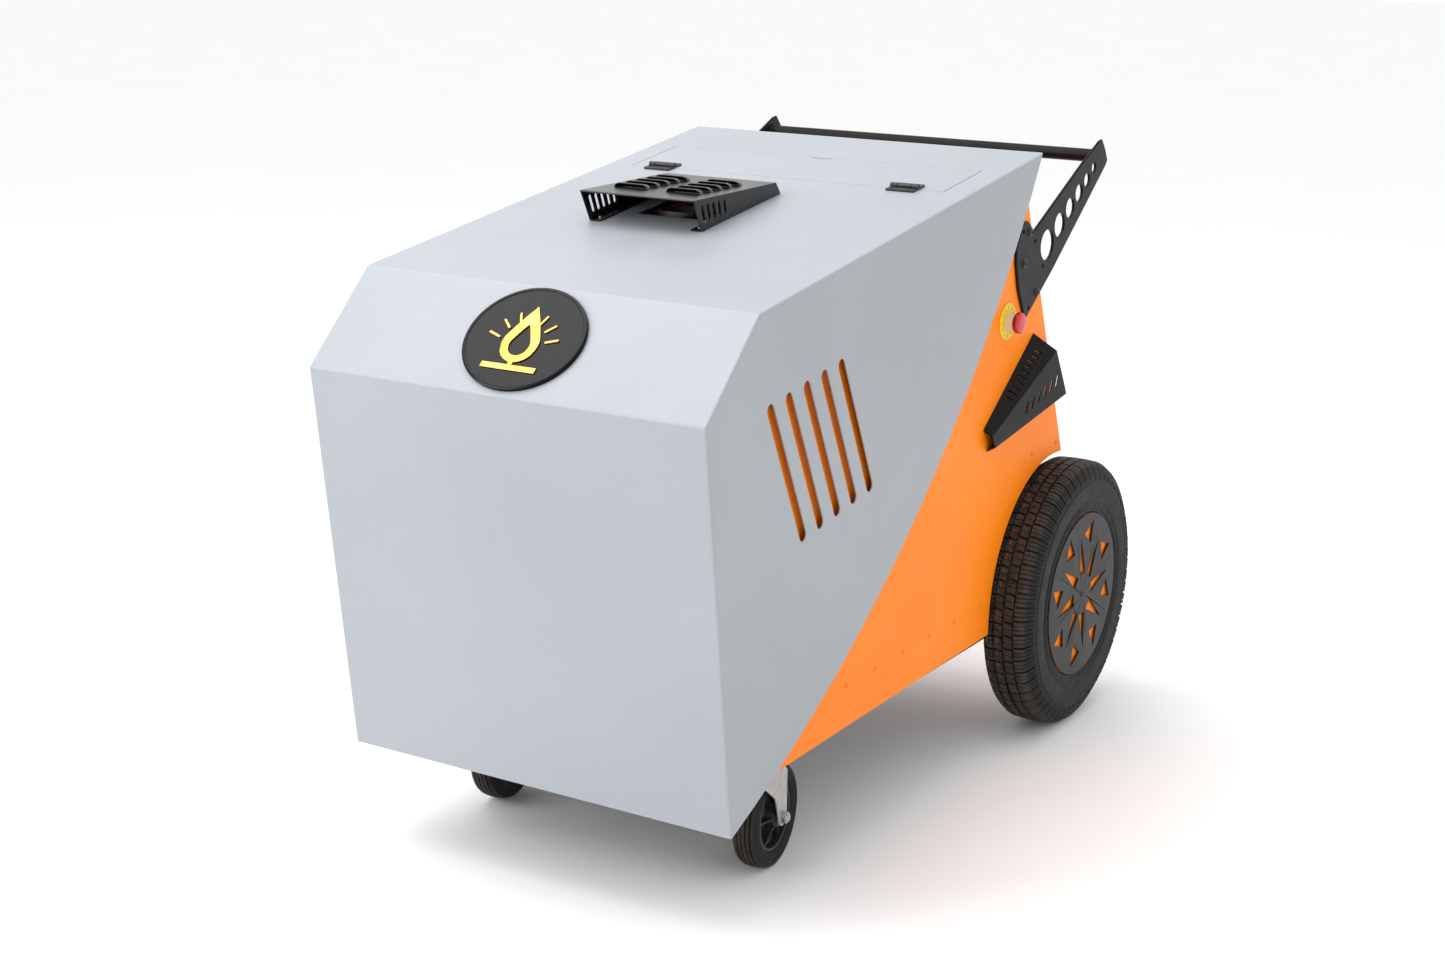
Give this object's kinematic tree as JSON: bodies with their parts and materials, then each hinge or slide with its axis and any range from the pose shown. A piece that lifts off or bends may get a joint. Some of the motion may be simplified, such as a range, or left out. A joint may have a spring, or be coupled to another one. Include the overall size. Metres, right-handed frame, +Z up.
{
  "type": "pressure washer",
  "caption": "Wheeled diesel-heated pressure washer: wedge-shaped hinged hood over a sheet chassis, push handle, flue cowl, service lid, rear tyres and front casters.",
  "frame": {"origin": "on the floor, under the middle of the machine's bounding box", "axes": "+Z up, front face towards -Y, push handle at +Y, emergency stop on the +X side"},
  "size_m": [0.77, 1.3852, 0.9989],
  "materials": {
    "orange_paint": "satin powder coat",
    "grey_paint": "satin powder coat",
    "black_paint": "satin powder coat",
    "dark_paint": "matt powder coat",
    "tyre_rubber": "matt",
    "caster_rubber": "matt",
    "black_plastic": "matt",
    "steel": "bare",
    "zinc": "zinc plated",
    "cast_body": "dark painted casting",
    "brass": "bare",
    "gold": "gold coated",
    "black_gloss": "glossy",
    "cream_plastic": "matt",
    "yellow_plastic": "matt",
    "red_plastic": "satin",
    "blue_plastic": "matt"
  },
  "bodies": {
    "chassis": {"axle": "steel", "boiler": "steel", "burner": "cast_body", "caster_plate_left": "zinc", "caster_plate_right": "zinc", "control_box": "black_plastic", "control_plate": "dark_paint", "exhaust_pipe": "steel", "feed_line": "steel", "floor_pan": "dark_paint", "front_frame": "dark_paint", "fuel_tank": "black_plastic", "handle_bar": "black_paint", "handle_bracket_left": "black_paint", "handle_bracket_right": "black_paint", "hood_hinge_rod": "steel", "lance_holster": "black_paint", "outlet_valve": "brass", "power_inlet": "blue_plastic", "pump": "brass", "pump_motor": "steel", "rear_panel": "orange_paint", "side_panel_left": "orange_paint", "side_panel_right": "orange_paint", "steam_line": "steel", "stop_collar": "cream_plastic", "stop_plate": "yellow_plastic", "water_inlet": "brass", "water_tank": "cream_plastic"},
    "hood": {"hood": "grey_paint", "exhaust_cowl": "black_paint", "badge_plate": "black_gloss", "badge_emblem": "gold", "lid_hinge_fixed_right": "black_paint", "lid_hinge_fixed_left": "black_paint"},
    "lid": {"lid": "grey_paint", "lid_hinge_moving_right": "black_paint", "lid_hinge_moving_left": "black_paint"},
    "wheel_right": {"tyre_right": "tyre_rubber", "rim_right": "orange_paint", "hub_cover_right": "dark_paint"},
    "wheel_left": {"tyre_left": "tyre_rubber", "rim_left": "orange_paint", "hub_cover_left": "dark_paint"},
    "caster_right": {"caster_fork_right": "zinc", "caster_bolt_right": "zinc"},
    "caster_left": {"caster_fork_left": "zinc", "caster_bolt_left": "zinc"},
    "caster_wheel_right": {"caster_core_right": "black_plastic", "caster_tyre_right": "caster_rubber"},
    "caster_wheel_left": {"caster_core_left": "black_plastic", "caster_tyre_left": "caster_rubber"},
    "stop": {"stop_button": "red_plastic"},
    "fuel_cap": {"fuel_cap": "red_plastic"},
    "water_cap": {"water_cap": "blue_plastic"},
    "needle": {"gauge_needle": "red_plastic"},
    "switch": {"main_switch": "red_plastic"},
    "rocker": {"pump_rocker": "black_plastic"},
    "lever": {"outlet_lever": "red_plastic"}
  },
  "joints": [
    {"name": "hood_hinge", "type": "hinge", "parent": "chassis", "child": "hood", "pos_m": [0, 0.25289, 0.948], "axis": [-1, 0, 0], "range_deg": [0, 45]},
    {"name": "lid_hinge", "type": "hinge", "parent": "hood", "child": "lid", "pos_m": [0, 0.0563, 0.9645], "axis": [1, 0, 0], "range_deg": [0, 100]},
    {"name": "wheel_spin_right", "type": "hinge", "parent": "chassis", "child": "wheel_right", "pos_m": [0.3382, 0.46139, 0.2312], "axis": [1, 0, 0], "continuous": true},
    {"name": "caster_swivel_right", "type": "hinge", "parent": "chassis", "child": "caster_right", "pos_m": [0.2395, -0.41351, 0.19], "axis": [0, 0, 1], "continuous": true},
    {"name": "caster_spin_right", "type": "hinge", "parent": "caster_right", "child": "caster_wheel_right", "pos_m": [0.23375, -0.35881, 0.08], "axis": [0.9945, 0.1045, 0], "continuous": true},
    {"name": "wheel_spin_left", "type": "hinge", "parent": "chassis", "child": "wheel_left", "pos_m": [-0.3382, 0.46139, 0.2312], "axis": [1, 0, 0], "continuous": true},
    {"name": "caster_swivel_left", "type": "hinge", "parent": "chassis", "child": "caster_left", "pos_m": [-0.2395, -0.41351, 0.19], "axis": [0, 0, 1], "continuous": true},
    {"name": "caster_spin_left", "type": "hinge", "parent": "caster_left", "child": "caster_wheel_left", "pos_m": [-0.24525, -0.35881, 0.08], "axis": [0.9945, 0.1045, 0], "continuous": true},
    {"name": "stop_press", "type": "slide", "parent": "chassis", "child": "stop", "axis": [-1, 0, 0], "range_m": [0, 0.003]},
    {"name": "fuel_cap_turn", "type": "hinge", "parent": "chassis", "child": "fuel_cap", "pos_m": [0.14, 0.12689, 0.9045], "axis": [0, 0, 1], "range_deg": [0, 90]},
    {"name": "water_cap_turn", "type": "hinge", "parent": "chassis", "child": "water_cap", "pos_m": [-0.14, 0.12689, 0.9045], "axis": [0, 0, 1], "range_deg": [0, 90]},
    {"name": "needle_turn", "type": "hinge", "parent": "chassis", "child": "needle", "pos_m": [0.095, 0.37675, 0.76543], "axis": [0, -0.9207, -0.3902], "range_deg": [0, 240]},
    {"name": "switch_turn", "type": "hinge", "parent": "chassis", "child": "switch", "pos_m": [0, 0.37675, 0.76543], "axis": [0, -0.9207, -0.3902], "range_deg": [0, 90]},
    {"name": "rocker_tilt", "type": "hinge", "parent": "chassis", "child": "rocker", "pos_m": [-0.09, 0.36754, 0.76153], "axis": [-1, 0, 0], "range_deg": [0, 8]},
    {"name": "lever_turn", "type": "hinge", "parent": "chassis", "child": "lever", "pos_m": [0.12, 0.52049, 0.412], "axis": [0, 0, -1], "range_deg": [0, 90]}
  ]
}
